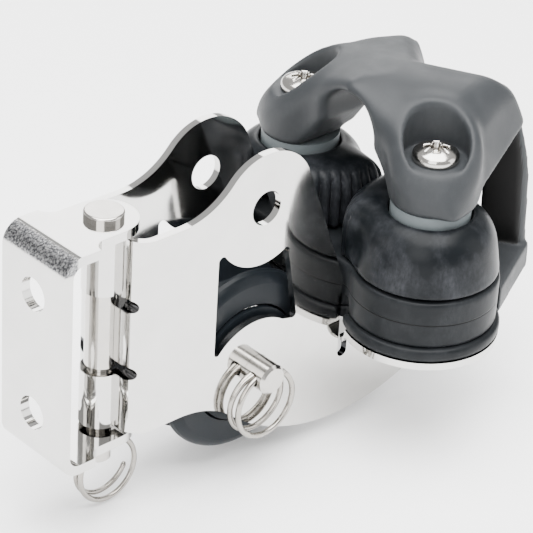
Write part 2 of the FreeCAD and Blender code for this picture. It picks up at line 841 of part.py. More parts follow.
def rounded_bar(name, radius, low, height):
    """Both round ends of the cleat and the straight part between them."""
    x = size["cleat_x"]
    y = size["cleat_half_spacing"]
    sketch = loose_sketch(name + "_plan", FLAT, (0, 0, low))
    flank = size["base_flank"]
    turn = hypot_leg(radius, flank)
    outline(sketch, [
        (x - flank, y - turn, -radius), (x - radius, y, -radius), (x, y + radius, -radius),
        (x + radius, y, -radius), (x + flank, y - turn), (x + flank, turn - y, -radius),
        (x + radius, -y, -radius), (x, -y - radius, -radius), (x - radius, -y, -radius),
        (x - flank, turn - y)])
    return extrude(name, sketch, (0, 0, 1), height)


def screw_holes(name, low, height, radius):
    holes = [cylinder(f"{name}_{label}", radius, height,
                      (size["cleat_x"], sign * size["cleat_half_spacing"], low))
             for sign, label in ((-1, "near"), (1, "far"))]
    return fuse(name, holes)


def cleat_base():
    """Lower pad, and the base above it whose two bosses carry the cams."""
    deck = size["deck_z"]
    pad_top = deck + size["pad_thickness"]
    hole = size["screw_diameter"] / 2 + size["screw_clearance"]
    pad_solid = rounded_bar("pad_solid", size["pad_radius"], deck, size["pad_thickness"])
    pad_holes = screw_holes("pad_holes", deck - 1, size["pad_thickness"] + 2, hole)
    keep(cut("base_pad", pad_solid, pad_holes), "base_pad")

    base_solid = rounded_bar("base_solid", size["base_radius"], pad_top,
                             size["base_top"] - pad_top)
    holes = screw_holes("base_holes", pad_top - 1, size["base_top"] - pad_top + 2, hole)
    keep(cut("cleat_base", base_solid, holes), "cleat_base")


def cam_plan(name):
    """Plan of the near cam's toothed lobe: swelling face, nose and the way back."""
    x = size["cleat_x"]
    y = -size["cleat_half_spacing"]
    face = size["cleat_half_spacing"] - size["cam_nose_gap"]
    radius = size["cam_radius"]
    start_x = -0.79 * radius
    start_y = 0.613 * radius
    sketch = loose_sketch(name, FLAT, (0, 0, size["cam_bottom"]))
    outline(sketch, [
        (x + start_x, y + start_y, -22.0), (x + 6.4, y + face, -1.6), (x + 8.2, y + face - 2.0),
        (x + 0.86 * radius, y + 0.36 * radius), (x, y - 2)])
    return sketch


def near_cam_solid():
    """Round back that tapers upwards, joined to the toothed lobe; bored for its bush."""
    x = size["cleat_x"]
    y = -size["cleat_half_spacing"]
    height = size["cam_top"] - size["cam_bottom"]
    back = doc.addObject("Part::Cone", "cam_back")
    bind(back, "Radius1", size["cam_radius"])
    bind(back, "Radius2", size["cam_top_radius"])
    bind(back, "Height", height)
    place(back, (x, y, size["cam_bottom"]))
    lobe = extrude("cam_lobe", cam_plan("cam_lobe_plan"), (0, 0, 1), height)

    face = (size["cleat_half_spacing"] - size["cam_nose_gap"]).value
    start = FreeCAD.Vector(-0.79 * size["cam_radius"].value, 0.613 * size["cam_radius"].value, 0)
    curve = arc_between(start, FreeCAD.Vector(6.4, face, 0), -22.0)
    count = int(size["tooth_count"].value)
    tools = []
    for number in range(count):
        share = (number + 1.2) / (count + 1)
        spot = curve.value(curve.FirstParameter * share + curve.LastParameter * (1 - share))
        tools.append(cylinder(f"tooth_gap_{number + 1}", size["tooth_depth"], height + 2,
                              (x + spot.x, y + spot.y, size["cam_bottom"] - 1)))
    spindle = size["spindle_radius"] + 0.08
    tools.append(cylinder("cam_bore", spindle, height + 2, (x, y, size["cam_bottom"] - 1)))
    tools.append(cylinder("cam_rebate", size["bush_radius"] + 0.3, 6,
                          (x, y, size["cam_top"] - 2.6)))
    tools.append(cylinder("cam_spring_room", 9.6, 5.6, (x, y, size["cam_bottom"] - 1)))
    return cut("near_cam", fuse("cam_solid", [back, lobe]), fuse("cam_tools", tools))


def cams():
    near = keep(near_cam_solid(), "near_cam")
    far = doc.addObject("Part::Mirroring", "far_cam")
    far.Source = near
    far.Normal = FreeCAD.Vector(0, 1, 0)
    keep(far, "far_cam")


def cam_bushes_and_springs():
    """A flanged spindle under each foot of the fairlead, and the spring coiled round it."""
    x = size["cleat_x"]
    bore = size["screw_diameter"] / 2 + size["screw_clearance"]
    low = size["bush_bottom"]
    flange_z = size["cam_top"] - 2.3
    wire = 1.1
    for sign, label in ((-1, "near"), (1, "far")):
        y = sign * size["cleat_half_spacing"]
        stem = cylinder(f"{label}_stem", size["spindle_radius"], size["bush_top"] - low,
                        (x, y, low))
        flange = cylinder(f"{label}_flange_disc", size["bush_radius"],
                          size["bush_top"] - flange_z, (x, y, flange_z))
        hole = cylinder(f"{label}_bush_hole", bore, size["bush_top"] - low + 2, (x, y, low - 1))
        keep(cut(f"{label}_cam_bush", fuse(f"{label}_bush_solid", [stem, flange]), hole),
             f"{label}_cam_bush")
        turns = []
        for number in range(3):
            turn = doc.addObject("Part::Torus", f"{label}_spring_turn_{number + 1}")
            bind(turn, "Radius1", size["spindle_radius"] + 1.6)
            bind(turn, "Radius2", wire / 2)
            rise = wire / 2 + 0.4 + number * wire * 0.92
            place(turn, (x, y, size["base_top"] + rise))
            turns.append(turn)
        keep(fuse(f"{label}_cam_spring", turns), f"{label}_cam_spring")


# ---------------------------------------------------------------- fasteners

def both_sides(label, make):
    """The same fastener at both screw positions, as one sub-part of two solids."""
    pair = []
    for sign, side in ((-1, "near"), (1, "far")):
        pair.append(make(f"{side}_{label}", size["cleat_x"], sign * size["cleat_half_spacing"]))
    merged = doc.addObject("Part::Compound", label)
    merged.Links = pair
    keep(merged, label)


def pan_screw(name, x, y):
    """Screw from the fairlead's foot down through the shelf, with a domed head."""
    seat = size["screw_seat_z"]
    head = size["screw_head_diameter"] / 2
    rise = size["screw_head_height"]
    end = size["deck_z"] - size["plate_sheet"] - size["washer_thickness"] - size["nut_height"] - 1.2
    radius = size["screw_diameter"] / 2 - 0.02
    sketch = loose_sketch(f"{name}_section", UPRIGHT, (x, y, 0))
    dome = 0.55 * rise
    bulge = ((head.value - 0.3) ** 2 + dome.value ** 2) / (2 * dome.value)
    outline(sketch, [
        (0, end), (radius - 0.6, end), (radius, end + 0.6), (radius, seat), (head, seat),
        (head - 0.3, seat + rise - dome, bulge), (0, seat + rise)])
    turn = doc.addObject("Part::Revolution", name)
    turn.Source = sketch
    turn.Axis = FreeCAD.Vector(0, 0, 1)
    turn.Base = FreeCAD.Vector(x.value, y.value, 0)
    turn.Angle = 360
    turn.Solid = True
    recess = box(f"{name}_recess_x", (x - 2.3, y - 0.45, seat + rise - 1.5),
                 (x + 2.3, y + 0.45, seat + rise + 1))
    other = box(f"{name}_recess_y", (x - 0.45, y - 2.3, seat + rise - 1.5),
                (x + 0.45, y + 2.3, seat + rise + 1))
    return cut(f"{name}_driven", turn, fuse(f"{name}_recess", [recess, other]))


def hex_nut(name, x, y):
    top = size["deck_z"] - size["plate_sheet"] - size["washer_thickness"]
    prism = doc.addObject("Part::Prism", f"{name}_hexagon")
    prism.Polygon = 6
    bind(prism, "Circumradius", size["nut_flats"] / math.sqrt(3))
    bind(prism, "Height", size["nut_height"])
    place(prism, (x, y, top - size["nut_height"]))
    bore = cylinder(f"{name}_bore", size["screw_diameter"] / 2, size["nut_height"] + 2,
                    (x, y, top - size["nut_height"] - 1))
    return cut(name, prism, bore)


def plain_washer(name, x, y):
    top = size["deck_z"] - size["plate_sheet"]
    low = top - size["washer_thickness"]
    disc = cylinder(f"{name}_disc", size["washer_diameter"] / 2, size["washer_thickness"],
                    (x, y, low))
    bore = cylinder(f"{name}_bore", size["screw_diameter"] / 2 + size["screw_clearance"],
                    size["washer_thickness"] + 2, (x, y, low - 1))
    return cut(name, disc, bore)


# ---------------------------------------------------------------- fairlead

def fairlead_hull():
    """What the side view, the front view and the plan of the fairlead have in common."""
    foot = size["foot_radius"]
    x = size["cleat_x"]
    y = size["cleat_half_spacing"]
    seat = size["bush_top"]
    top = size["fairlead_top"]
    deck = size["deck_z"]
    front_x = size["fairlead_front_x"]
    leg_out = size["leg_y"] + size["leg_size"] / 2
    leg = size["leg_x"]
    rear = leg + size["leg_thickness"]
    blank = 70

    elbow = (leg - 6.0, 20.0, 3.0)
    leg_inner_top = (leg - 3.4, 17.0)
    leg_outer_top = (leg, 18.0, 8.0)
    hood_rear = (leg - 4.0, 27.0, 14.0)
    brow = (front_x, top - 4.5)
    chin = (x - foot, 20.5)
    side = loose_sketch("fairlead_side_view", UPRIGHT)
    outline(side, [
        (x - foot, seat), (x + foot, seat), elbow, leg_inner_top, (leg - 1.4, deck),
        (rear, deck), leg_outer_top, hood_rear, (size["wing_x"], size["wing_top"]),
        (x + 4.0, top), (x - 1.0, top, 7.0), brow, chin])
    side_block = extrude("fairlead_side_block", side, (0, 1, 0), blank, symmetric=True)

    outer = y + foot
    skirt = seat - 2.0
    shoulder = (outer, 17.0, 7.0)
    flank_top = (outer - 3.8, 22.2)
    crest = (13.5, top - 1.2, 4.0)
    front = loose_sketch("fairlead_front_view", CROSSWISE)
    outline(front, mirrored([(leg_out, deck), (leg_out, skirt), (outer, skirt), shoulder,
                             flank_top, crest, (10.5, top)]))
    front_block = extrude("fairlead_front_block", front, (1, 0, 0), blank)
    bind(front_block, "Placement.Base.x", blank)

    leg_corner = (rear - 3.0, leg_out + 2.2)
    wing_root = (x + 10.5, y + 6.6)
    cheek = (x - 5.0, y - 7.6)
    plan = loose_sketch("fairlead_plan", FLAT)
    outline(plan, mirrored([(rear, leg_out - 1.0), leg_corner, wing_root, (x, outer, foot),
                            (x - foot, y), cheek, (front_x, 6.0)], across=1))
    plan_block = extrude("fairlead_plan_block", plan, (0, 0, 1), blank)
    bind(plan_block, "Placement.Base.z", deck - 1)
    return common("fairlead_hull", [side_block, front_block, plan_block])


def mirrored(half, across=0):
    """Half of an outline and its mirror image; across is the coordinate that changes sign."""
    other = []
    for number in range(len(half) - 1, -1, -1):
        point = [half[number][0], half[number][1]]
        point[across] = -as_size(point[across])
        arc = half[number - 1][2:] if number else ()
        other.append((*point, *arc))
    return list(half) + other


def fairlead_arm(label, sign):
    """Low wall that runs forward from a leg's foot to the end of the cleat base."""
    leg_out = size["leg_y"] + size["leg_size"] / 2
    rear = size["leg_x"] + size["leg_thickness"]
    x = size["cleat_x"]
    y = size["cleat_half_spacing"]
    wall_height = 7.5
    heel = [(rear, leg_out - 1.6), (rear - 0.6, leg_out)]
    toe = [(x + 14.5, y + 7.6), (x + 12.5, y + 4.6)]
    inside = [(rear - 3.6, leg_out - 3.2)]
    sketch = loose_sketch(f"{label}_arm_plan", FLAT, (0, 0, size["deck_z"]))
    outline(sketch, [(along, sign * across) for along, across in heel + toe + inside])
    wall = extrude(f"{label}_arm_wall", sketch, (0, 0, 1), wall_height)
    room = cylinder(f"{label}_arm_room", size["pad_radius"] + 0.4, 20,
                    (x, sign * y, size["deck_z"] - 5))
    return cut(f"{label}_arm", wall, room)


def fairlead():
    """Bridge over the cams: two screwed feet, a front arch, a hood and two rear legs."""
    x = size["cleat_x"]
    arch = size["arch_half_width"]
    leg_in = size["leg_y"] - size["leg_size"] / 2
    solid = fuse("fairlead_solid", [fairlead_hull(), fairlead_arm("near", -1),
                                    fairlead_arm("far", 1)])
    tools = []
    tunnel = loose_sketch("arch_section", CROSSWISE)
    spring = size["arch_top"] - arch
    outline(tunnel, [
        (-arch, -20), (arch, -20), (arch, spring, arch), (0, size["arch_top"], arch),
        (-arch, spring)])
    front = extrude("arch_tunnel", tunnel, (1, 0, 0), 60)
    bind(front, "Placement.Base.x", 70)
    tools.append(front)
    rear = loose_sketch("eye_section", CROSSWISE)
    high = size["wing_top"] - 4.6
    outline(rear, [
        (-leg_in, -20), (leg_in, -20), (leg_in, high - 8, 8), (leg_in - 8, high),
        (8 - leg_in, high, 8), (-leg_in, high - 8)])
    eye = extrude("eye_tunnel", rear, (1, 0, 0), 40)
    bind(eye, "Placement.Base.x", x + 11.5)
    tools.append(eye)
    for sign, label in ((-1, "near"), (1, "far")):
        y = sign * size["cleat_half_spacing"]
        tools.append(cylinder(f"{label}_well", size["well_radius"], 20,
                              (x, y, size["screw_seat_z"])))
        tools.append(cylinder(f"{label}_well_hole",
                              size["screw_diameter"] / 2 + size["screw_clearance"], 20,
                              (x, y, size["bush_top"] - 2)))
    keep(cut("fairlead", solid, fuse("fairlead_tools", tools)), "fairlead")


# ---------------------------------------------------------------- build and write

hinge_bracket()
hinge_pin_and_ring()
side_plates()
axle_and_ring()
cheek_washers()
sheave_wheel()
sheave_hub()
sheave_balls()
retainer_ring("near_ball_retainer", -1)
retainer_ring("far_ball_retainer", 1)
cleat_base()
cams()
cam_bushes_and_springs()
fairlead()
both_sides("cleat_screws", pan_screw)
both_sides("cleat_washers", plain_washer)
both_sides("cleat_nuts", hex_nut)
doc.recompute()

problems = []
for item in doc.Objects:
    if "Invalid" in item.State or "Error" in item.State:
        problems.append(f"{item.Name}: {item.State}")
for node in nodes:
    if node.Shape.isNull() or not node.Shape.isValid():
        problems.append(f"{node.Label}: shape not valid")
if problems:
    raise RuntimeError("; ".join(problems))

os.makedirs("parts", exist_ok=True)
for node in nodes:
    node.Shape.exportStep(f"parts/{node.Label}.step")
    bounds = node.Shape.BoundBox
    print(f"{node.Label}: {len(node.Shape.Solids)} solids, {node.Shape.Volume:.0f} mm3, "
          f"x {bounds.XMin:.1f}..{bounds.XMax:.1f}, y {bounds.YMin:.1f}..{bounds.YMax:.1f}, "
          f"z {bounds.ZMin:.1f}..{bounds.ZMax:.1f}")
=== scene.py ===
"""A hinged lead block with a cam cleat: the looks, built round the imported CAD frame.

Lengths are in metres in the row frame. MM turns millimetres into metres.
"""
import math

import bmesh
import bpy
import numpy as np
from mathutils import Matrix, Vector


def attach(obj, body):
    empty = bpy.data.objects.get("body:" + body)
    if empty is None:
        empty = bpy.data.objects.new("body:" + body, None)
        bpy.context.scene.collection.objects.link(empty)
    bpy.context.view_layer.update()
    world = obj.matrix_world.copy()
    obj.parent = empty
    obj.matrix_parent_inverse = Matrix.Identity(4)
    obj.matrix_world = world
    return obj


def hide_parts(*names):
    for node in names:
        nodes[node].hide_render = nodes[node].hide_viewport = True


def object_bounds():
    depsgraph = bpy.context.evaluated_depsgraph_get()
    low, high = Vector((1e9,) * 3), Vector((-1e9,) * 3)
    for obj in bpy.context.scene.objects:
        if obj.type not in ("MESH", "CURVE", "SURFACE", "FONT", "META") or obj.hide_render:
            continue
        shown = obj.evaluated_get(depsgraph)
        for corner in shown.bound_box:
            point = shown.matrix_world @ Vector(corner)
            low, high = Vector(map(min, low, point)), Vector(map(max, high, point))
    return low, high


MM = 0.001
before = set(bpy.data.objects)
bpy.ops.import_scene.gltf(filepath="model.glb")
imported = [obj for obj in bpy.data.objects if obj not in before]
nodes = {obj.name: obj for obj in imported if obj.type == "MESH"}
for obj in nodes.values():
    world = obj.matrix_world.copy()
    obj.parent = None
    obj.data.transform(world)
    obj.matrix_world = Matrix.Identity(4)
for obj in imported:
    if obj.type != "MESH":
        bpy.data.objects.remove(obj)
cad_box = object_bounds()

# The cleat's two screws stand at x = CLEAT_X and y = -CLEAT_Y, CLEAT_Y, in millimetres.
CLEAT_X = 84.5
CLEAT_Y = 19.0


# ---------------------------------------------------------------- materials

class Shader:
    """One procedural material: a Principled shader and short calls that add nodes to it."""

    def __init__(self, name, color, rough, metal=0.0, **sockets):
        self.material = bpy.data.materials.new(name)
        self.material.use_nodes = True
        self.tree = self.material.node_tree
        self.main = self.tree.nodes["Principled BSDF"]
        self.main.inputs["Base Color"].default_value = (*color, 1)
        self.main.inputs["Roughness"].default_value = rough
        self.main.inputs["Metallic"].default_value = metal
        for socket, value in sockets.items():
            self.main.inputs[socket.replace("_", " ")].default_value = value
        self.height = None

    def node(self, kind, **settings):
        made = self.tree.nodes.new(kind)
        for key, value in settings.items():
            if key in made.inputs:
                made.inputs[key].default_value = value
            else:
                setattr(made, key, value)
        return made

    def link(self, out, to):
        self.tree.links.new(out, to)

    def place(self, stretch=(1, 1, 1)):
        """Object coordinates, in metres, scaled by stretch."""
        coords = self.node("ShaderNodeTexCoord")
        mapping = self.node("ShaderNodeMapping")
        mapping.inputs["Scale"].default_value = stretch
        self.link(coords.outputs["Object"], mapping.inputs["Vector"])
        return mapping.outputs["Vector"]

    def noise(self, scale, detail=4.0, stretch=(1, 1, 1), roughness=0.55):
        made = self.node("ShaderNodeTexNoise", Scale=scale, Detail=detail, Roughness=roughness)
        self.link(self.place(stretch), made.inputs["Vector"])
        return made.outputs["Fac"]

    def ramp(self, fac, low, high, start, end):
        """A number from low to high as fac goes from start to end."""
        made = self.node("ShaderNodeMapRange")
        limits = {"From Min": start, "From Max": end, "To Min": low, "To Max": high}
        for key, value in limits.items():
            made.inputs[key].default_value = value
        self.link(fac, made.inputs["Value"])
        return made.outputs["Result"]

    def mix(self, fac, first, second):
        """The first colour where fac is 0 and the second where it is 1."""
        factor_input, color_a, color_b, color_output = 0, 6, 7, 2
        made = self.node("ShaderNodeMix", data_type="RGBA")
        for index, value in ((color_a, first), (color_b, second)):
            if isinstance(value, tuple):
                made.inputs[index].default_value = (*value, 1)
            else:
                self.link(value, made.inputs[index])
        self.link(fac, made.inputs[factor_input])
        return made.outputs[color_output]

    def bump(self, height, distance, strength):
        """Relief of this distance in metres, on top of any relief added before it."""
        made = self.node("ShaderNodeBump", Distance=distance, Strength=strength)
        self.link(height, made.inputs["Height"])
        if self.height is not None:
            self.link(self.height, made.inputs["Normal"])
        self.height = made.outputs["Normal"]
        self.link(self.height, self.main.inputs["Normal"])

    def past(self, axis, value, width, sign=1):
        """0 below value along an axis and 1 above it, or the reverse when sign is -1."""
        coords = self.node("ShaderNodeTexCoord")
        split = self.node("ShaderNodeSeparateXYZ")
        self.link(coords.outputs["Object"], split.inputs["Vector"])
        low, high = (0.0, 1.0) if sign > 0 else (1.0, 0.0)
        return self.ramp(split.outputs[axis], low, high, value - width / 2, value + width / 2)

    def band(self, axis, low, high, width):
        """1 between low and high along an axis, and 0 outside them."""
        return self.times(self.past(axis, low, width), self.past(axis, high, width, -1))

    def facing(self, axis):
        """The part of the surface's normal that lies along an axis, from -1 to 1."""
        geometry = self.node("ShaderNodeNewGeometry")
        split = self.node("ShaderNodeSeparateXYZ")
        self.link(geometry.outputs["True Normal"], split.inputs["Vector"])
        return split.outputs[axis]

    def times(self, first, second):
        made = self.node("ShaderNodeMath", operation="MULTIPLY")
        self.link(first, made.inputs[0])
        self.link(second, made.inputs[1])
        return made.outputs[0]

    def color(self, out):
        self.link(out, self.main.inputs["Base Color"])

    def rough(self, out):
        self.link(out, self.main.inputs["Roughness"])


GRAIN_DEPTH = 0.004 * MM
MARK_DEPTH = 0.006 * MM
PEBBLE_DEPTH = 0.12 * MM
TURNING_DEPTH = 0.005 * MM
SCUFF_DEPTH = 0.01 * MM
SEAM_DEPTH = 0.1 * MM
FOLD_END_X = 3.0 * MM
FOLD_START_Z = 20.6 * MM
KNUCKLE_SLOTS_Z = (7.3 * MM, -7.5 * MM)
KNUCKLE_SLOT_TOP = 12 * MM
WEB_SLOT_X = 72.25 * MM
WEB_SLOT_TOP = -15.3 * MM
SLOT_HALF = 1.6 * MM
SLOT_FRONT_X = 16.9 * MM
MOULD_LINE_Z = -7.0 * MM
REAR_WALL_X = 100 * MM
DEEP_SHADE = (0.001, 0.001, 0.001)


def sheet_steel(name, bend=False, slots=()):
    """Rolled stainless sheet, polished: faint drawn grain, soft patches and a few fine marks.

    With bend, the outside of the upper fold is dull, dark and pebbled, as stretched metal is.
    Slots are (axis, middle, top) bands of half width SLOT_HALF. Their cut edges, those square
    to the sheet and behind SLOT_FRONT_X, are painted dark below the height top: painted shade
    inside the slots.
    """
    tint = (0.60, 0.592, 0.575)
    rough = 0.07
    s = Shader(name, tint, rough, 1.0)
    patches = s.noise(140, 3.0)
    grain = s.noise(900, 2.0, (1, 1, 0.06))
    marks = s.noise(2600, 1.0, (1, 1, 0.9))
    deep = tuple(c * 0.93 for c in tint)
    polish = s.ramp(patches, rough * 0.75, rough * 1.35, 0.35, 0.65)
    shade = s.mix(s.ramp(patches, 0.0, 1.0, 0.3, 0.7), tint, deep)
    s.bump(grain, GRAIN_DEPTH, 0.5)
    s.bump(s.ramp(marks, 0.0, 1.0, 0.70, 0.78), MARK_DEPTH, 0.4)
    if bend:
        blend = 0.5 * MM
        fold = s.times(s.past("X", FOLD_END_X, blend, -1), s.past("Z", FOLD_START_Z, blend))
        pebble = s.noise(2300, 3.0, roughness=0.6)
        speck = s.ramp(pebble, 0.0, 1.0, 0.42, 0.66)
        dull = s.mix(speck, (0.06, 0.06, 0.065), (0.42, 0.42, 0.42))
        shade = s.mix(fold, shade, dull)
        s.bump(s.times(fold, pebble), PEBBLE_DEPTH, 0.9)
        polish = s.ramp(fold, rough, 0.36, 0.0, 1.0)
    for axis, middle, top in slots:
        blend = 0.2 * MM
        flat = s.node("ShaderNodeMath", operation="ABSOLUTE")
        s.link(s.facing("Y"), flat.inputs[0])
        square = s.ramp(flat.outputs[0], 1.0, 0.0, 0.3, 0.5)
        # Painted shade: the slots' cut edges, square to the sheet, are darkened where light does
        # not reach inside the slots.
        edge = s.times(s.band(axis, middle - SLOT_HALF, middle + SLOT_HALF, blend), square)
        edge = s.times(edge, s.past("Z", top, blend, -1))
        edge = s.times(edge, s.past("X", SLOT_FRONT_X, blend))
        shade = s.mix(edge, shade, (0.05, 0.05, 0.052))
    s.rough(polish)
    s.color(shade)
    return s.material


def turned_steel(name, tint, rough):
    """Drawn or turned steel: fine rings and darker patches."""
    s = Shader(name, tint, rough, 1.0)
    patches = s.noise(350, 3.0)
    rings = s.noise(2500, 1.0, (0.1, 0.1, 1))
    s.rough(s.ramp(patches, rough * 0.7, rough * 1.5, 0.3, 0.7))
    s.color(s.mix(patches, tint, tuple(c * 0.82 for c in tint)))
    s.bump(rings, TURNING_DEPTH, 0.35)
    return s.material


def moulded(name, base, pale, rough, grain=9000, depth=0.01 * MM, bloom=0.5, sheen=0.1,
            seam=None, painted_shade_back=False):
    """Moulded plastic: spark-eroded grain, pale handling bloom and small scuffs.

    Seam is the height of a mould line, whose groove is painted near black as shade. The last
    argument paints the smooth inner faces of the rear wall, which face the cams, near black:
    painted shade, standing in for the light that does not reach under the hood.
    """
    s = Shader(name, base, rough, 0.0, Specular_IOR_Level=sheen)
    cloud = s.noise(110, 5.0, (1, 1, 1), 0.62)
    fine = s.noise(grain, 2.0)
    scuff = s.noise(1500, 6.0, (1, 1, 0.35), 0.7)
    clouded = s.ramp(cloud, 0.0, bloom, 0.42, 0.68)
    shade = s.mix(s.times(clouded, s.ramp(scuff, 0.35, 1.0, 0.35, 0.65)), base, pale)
    s.bump(fine, depth, 0.8)
    s.bump(scuff, SCUFF_DEPTH, 0.25)
    if seam is not None:
        width = 0.12 * MM
        line = s.band("Z", seam - width, seam + width, width)
        # Painted shade: the mould line's groove is drawn near black.
        shade = s.mix(line, shade, DEEP_SHADE)
        s.bump(s.ramp(line, 1.0, 0.0, 0.0, 1.0), SEAM_DEPTH, 0.8)
    if painted_shade_back:
        # Painted shade: the rear wall's inner faces that face the cams are darkened to near black.
        forward = s.ramp(s.facing("X"), 1.0, 0.0, -0.5, -0.3)
        inner = s.times(s.past("X", REAR_WALL_X, 3 * MM), forward)
        shade = s.mix(inner, shade, DEEP_SHADE)
    s.color(shade)
    s.rough(s.ramp(cloud, rough * 0.85, rough * 1.2, 0.35, 0.7))
    return s.material


STEEL = sheet_steel("polished_stainless_sheet")
FOLD = sheet_steel("polished_stainless_fold",
                   slots=[("Z", z, KNUCKLE_SLOT_TOP) for z in KNUCKLE_SLOTS_Z])
WEB = sheet_steel("polished_stainless_web", slots=[("X", WEB_SLOT_X, WEB_SLOT_TOP)])
BRACKET = sheet_steel("polished_stainless_bracket", bend=True)
PIN = turned_steel("turned_pin_steel", (0.52, 0.50, 0.47), 0.14)
WIRE = turned_steel("spring_wire_steel", (0.36, 0.34, 0.31), 0.22)
BALL = turned_steel("bearing_ball_steel", (0.95, 0.95, 0.95), 0.05)
NYLON = ((0.006, 0.007, 0.008), (0.030, 0.032, 0.035), 0.42)
BLACK = moulded("black_nylon", *NYLON)
BASE = moulded("black_nylon_base", *NYLON, seam=MOULD_LINE_Z)
CAM = moulded("cam_nylon", (0.004, 0.005, 0.006), (0.036, 0.038, 0.043), 0.34, bloom=0.8)
WHEEL = moulded("sheave_acetal", (0.006, 0.008, 0.010), (0.016, 0.018, 0.022), 0.34, bloom=0.4)
FAIRLEAD = moulded("fairlead_nylon", (0.020, 0.022, 0.024), (0.040, 0.042, 0.045), 0.5,
                   grain=6000, depth=0.025 * MM, bloom=0.45, sheen=0.22, painted_shade_back=True)
BUSH = moulded("bush_acetal", (0.10, 0.115, 0.12), (0.13, 0.145, 0.15), 0.42, bloom=0.3)

# Replaced nodes aren't listed: the pieces that stand for them carry their own materials.
NODE_MATERIALS = {
    STEEL: ("near_cheek_upper", "near_shelf", "far_cheek_upper", "far_shelf"),
    FOLD: ("knuckle_fold",),
    WEB: ("near_cheek_lower", "far_cheek_lower"),
    BRACKET: ("hinge_bracket",),
    PIN: ("hinge_pin", "axle_pin", "hub_washers", "sheave_hub", "hinge_sleeve",
          "cleat_washers", "cleat_nuts"),
    WIRE: ("near_cam_spring", "far_cam_spring"),
    BALL: ("near_ball_row", "far_ball_row"),
    WHEEL: ("sheave", "near_ball_retainer", "far_ball_retainer"),
    BUSH: ("near_cam_bush", "far_cam_bush"),
}
for material, names in NODE_MATERIALS.items():
    for name in names:
        nodes[name].data.materials.clear()
        nodes[name].data.materials.append(material)


# ------------------------------------------- smooth solids from distance fields
#
# Moulded parts with blended shapes are written as distance functions of x, y, z in
# millimetres: negative inside. skin() turns one into a mesh by surface nets.

def smooth_min(a, b, r):
    """Union of two fields, blended over the distance r."""
    h = np.clip(0.5 + 0.5 * (b - a) / r, 0, 1)
    return b + (a - b) * h - r * h * (1 - h)


def smooth_max(a, b, r):
    """Intersection of two fields, with its edge rounded over the distance r."""
    return -smooth_min(-a, -b, r)


def round_max(a, b, r):
    """Intersection of two fields, with its edge rounded to the radius r."""
    corner = np.hypot(np.maximum(a + r, 0), np.maximum(b + r, 0))
    return np.minimum(np.maximum(a, b), -r) + corner


def plane(p, point, normal):
    """Half-space below the plane through point, square to normal."""
    length = math.sqrt(sum(n * n for n in normal))
    return sum((c - q) * (n / length) for c, q, n in zip(p, point, normal))


def add_piece(name, mesh):
    piece = bpy.data.objects.new(name, mesh)
    bpy.context.scene.collection.objects.link(piece)
    return piece


def surface_net(field, low, high, step):
    """Corners, and faces as rows of four corner numbers, of the surface where field is zero."""
    axes = [np.arange(a, b + step, step) for a, b in zip(low, high)]
    grid = np.meshgrid(*axes, indexing="ij")
    value = field(grid).astype(np.float32)
    inside = value < 0
    shape = [n - 1 for n in value.shape]
    total = np.zeros(shape + [3], np.float32)
    count = np.zeros(shape, np.float32)
    corner = [(i, j, k) for i in (0, 1) for j in (0, 1) for k in (0, 1)]

    def part(array, c):
        return array[c[0]:c[0] + shape[0], c[1]:c[1] + shape[1], c[2]:c[2] + shape[2]]

    for first in corner:
        for axis in range(3):
            if first[axis]:
                continue
            second = tuple(1 if n == axis else first[n] for n in range(3))
            a, b = part(value, first), part(value, second)
            crossed = (a < 0) != (b < 0)
            t = np.where(crossed, a / np.where(crossed, a - b, 1), 0)
            for n in range(3):
                along = t if n == axis else first[n]
                total[..., n] += np.where(crossed, along, 0)
            count += crossed
    cell = np.argwhere(count > 0)
    index = np.full(shape, -1, np.int64)
    index[tuple(cell.T)] = np.arange(len(cell))
    places = total[tuple(cell.T)] / count[tuple(cell.T)][:, None] + cell
    verts = np.array(low) + places * step
    faces = []
    for axis in range(3):
        u, v = [n for n in range(3) if n != axis]
        cut = [slice(1, -1)] * 3
        cut[axis] = slice(0, -1)
        shifted = list(cut)
        shifted[axis] = slice(1, None)
        a, b = inside[tuple(cut)], inside[tuple(shifted)]
        edge = np.argwhere(a != b)
        goes_out = a[tuple(edge.T)]
        base = edge + 1
        base[:, axis] -= 1
        ring = []
        for du, dv in ((0, 0), (1, 0), (1, 1), (0, 1)):
            spot = base.copy()
            spot[:, u] -= du
            spot[:, v] -= dv
            ring.append(index[tuple(spot.T)])
        quad = np.stack(ring, 1)
        flip = goes_out == (axis != 1)
        quad[flip] = quad[flip][:, ::-1]
        faces.append(quad[:, ::-1])
    return verts, np.concatenate(faces)


def skin(name, field, low, high, step, material, relax=2):
    """Smoothed mesh of the surface where field is zero, in the box low..high, in millimetres."""
    verts, faces = surface_net(field, low, high, step)
    mesh = bpy.data.meshes.new(name)
    mesh.from_pydata((verts * MM).tolist(), [], faces.tolist())
    mesh.materials.append(material)
    made = bmesh.new()
    made.from_mesh(mesh)
    for _ in range(relax):
        bmesh.ops.smooth_vert(made, verts=made.verts, factor=0.5, use_axis_x=True,
                              use_axis_y=True, use_axis_z=True)
    bmesh.ops.recalc_face_normals(made, faces=made.faces)
    made.to_mesh(mesh)
    made.free()
    mesh.shade_smooth()
    return add_piece(name, mesh)


# ---------------------------------------------------------------- fairlead

FOOT_Z = 13.2
WELL_FLOOR = 22.2
ARCH_HALF = 7.0
ARCH_CENTRE_Z = 23.4
DECK_Z = -15.1
HIGHEST_Z = 33.55
LAST_X = 119.7


